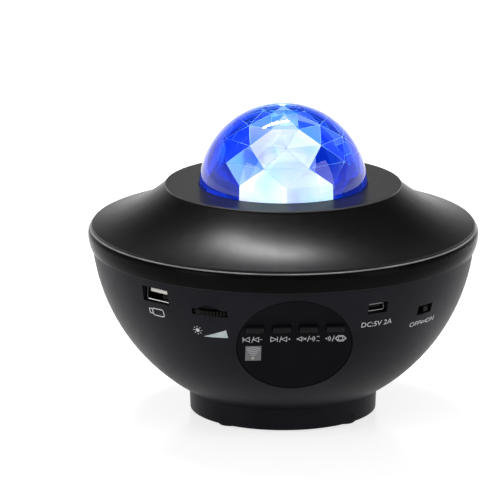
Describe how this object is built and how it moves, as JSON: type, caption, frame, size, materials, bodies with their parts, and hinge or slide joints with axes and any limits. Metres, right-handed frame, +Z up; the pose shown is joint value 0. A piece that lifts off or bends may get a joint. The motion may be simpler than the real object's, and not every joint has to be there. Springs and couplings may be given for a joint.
{
  "type": "star night light projector",
  "caption": "Round table-top star projector: a bowl on a foot under a flared cover with a faceted crystal dome, keys, dimmer, switch and sockets.",
  "frame": {"origin": "on the floor under the middle of the round foot", "axes": "+Z up along the axis of the foot, bowl and dome; the control panel faces -Y"},
  "size_m": [0.1678, 0.1678, 0.1343],
  "materials": {
    "housing_plastic": "satin black moulding with a very fine grain",
    "band_plastic": "smoother black moulding with a soft gloss",
    "panel_plastic": "satin black, a little darker than the housing",
    "button_plastic": "satin black caps",
    "window_plastic": "light grey, translucent, lets infra-red through",
    "dimmer_plastic": "black ribbed wheel",
    "knob_plastic": "black slider",
    "clear_crystal": "clear, facets inside",
    "clear_lens": "clear optical plastic",
    "grating": "thin diffraction film",
    "led_white": "emitters with clear domes",
    "reflector_plastic": "bright white",
    "pad_rubber": "black, dull",
    "inner_plastic": "white moulding that throws the lamp's light upwards",
    "gear_plastic": "natural acetal",
    "circuit_board": "green solder mask",
    "component_plastic": "moulded components, pale",
    "dark_component": "black insulator",
    "socket_metal": "plated steel",
    "screw_steel": "zinc plated",
    "speaker_metal": "pressed steel",
    "magnet_metal": "ferrite, dull grey",
    "cone_paper": "black paper and rolled cloth edge",
    "shaft_steel": "ground steel",
    "laser_brass": "turned",
    "sink_aluminium": "extruded"
  },
  "bodies": {
    "housing": {"lower_bowl": "housing_plastic", "top_cover": "housing_plastic", "foot_base": "housing_plastic", "rim_band": "band_plastic", "control_panel": "panel_plastic", "ir_window": "window_plastic", "crystal_dome": "clear_crystal", "condenser_lens": "clear_lens", "leds": "led_white", "light_reflector": "reflector_plastic", "rubber_feet": "pad_rubber", "dome_clamp_ring": "inner_plastic", "light_deck": "inner_plastic", "main_board": "circuit_board", "button_board": "circuit_board", "left_port_board": "circuit_board", "right_port_board": "circuit_board", "led_board": "circuit_board", "tact_switches": "component_plastic", "ir_receiver": "component_plastic", "switch_housing": "component_plastic", "dimmer_pot": "component_plastic", "usb_socket_tongue": "component_plastic", "power_inlet_tongue": "dark_component", "usb_socket_shell": "socket_metal", "power_inlet_shell": "socket_metal", "dome_screws": "screw_steel", "base_screws": "screw_steel", "tie_screws": "screw_steel", "speaker_screws": "screw_steel", "main_board_screws": "screw_steel", "button_board_screws": "screw_steel", "port_board_screws": "screw_steel", "deck_screws": "screw_steel", "led_board_screws": "screw_steel", "motor_screws": "screw_steel", "speaker_frame": "speaker_metal", "drive_motor": "speaker_metal", "speaker_magnet": "magnet_metal", "speaker_cone": "cone_paper", "laser_module": "laser_brass", "heat_sink": "sink_aluminium"},
    "button_volume_down": {"button_volume_down": "button_plastic"},
    "button_volume_up": {"button_volume_up": "button_plastic"},
    "button_mute": {"button_mute": "button_plastic"},
    "button_mode": {"button_mode": "button_plastic"},
    "dimmer": {"dimmer_wheel": "dimmer_plastic"},
    "switch_slider": {"switch_knob": "knob_plastic"},
    "lens_rotor": {"lens_carrier": "gear_plastic", "grating_film": "grating", "ripple_lens": "clear_lens"},
    "pinion": {"drive_pinion": "gear_plastic", "motor_shaft": "shaft_steel"}
  },
  "joints": [
    {"name": "button_volume_down_press", "type": "slide", "parent": "housing", "child": "button_volume_down", "axis": [0, 0.8973, 0.4415], "range_m": [0, 0.0005], "stiffness_N_per_m": 300},
    {"name": "button_volume_up_press", "type": "slide", "parent": "housing", "child": "button_volume_up", "axis": [0, 0.8973, 0.4415], "range_m": [0, 0.0005], "stiffness_N_per_m": 300},
    {"name": "button_mute_press", "type": "slide", "parent": "housing", "child": "button_mute", "axis": [0, 0.8973, 0.4415], "range_m": [0, 0.0005], "stiffness_N_per_m": 300},
    {"name": "button_mode_press", "type": "slide", "parent": "housing", "child": "button_mode", "axis": [0, 0.8973, 0.4415], "range_m": [0, 0.0005], "stiffness_N_per_m": 300},
    {"name": "dimmer_turn", "type": "hinge", "parent": "housing", "child": "dimmer", "pos_m": [-0.0315, -0.06289, 0.06197], "axis": [0, 0, 1], "range_deg": [-135, 135]},
    {"name": "switch_slide", "type": "slide", "parent": "housing", "child": "switch_slider", "axis": [-0.7009, -0.7133, 0], "range_m": [0, 0.002]},
    {"name": "lens_spin", "type": "hinge", "parent": "housing", "child": "lens_rotor", "pos_m": [0, 0, 0.0865], "axis": [0, 0, 1], "continuous": true},
    {"name": "pinion_spin", "type": "hinge", "parent": "housing", "child": "pinion", "pos_m": [0.036, 0, 0.0865], "axis": [0, 0, 1], "continuous": true}
  ],
  "couplings": [
    {"joint": "pinion_spin", "follows": "lens_spin", "ratio": -5}
  ]
}
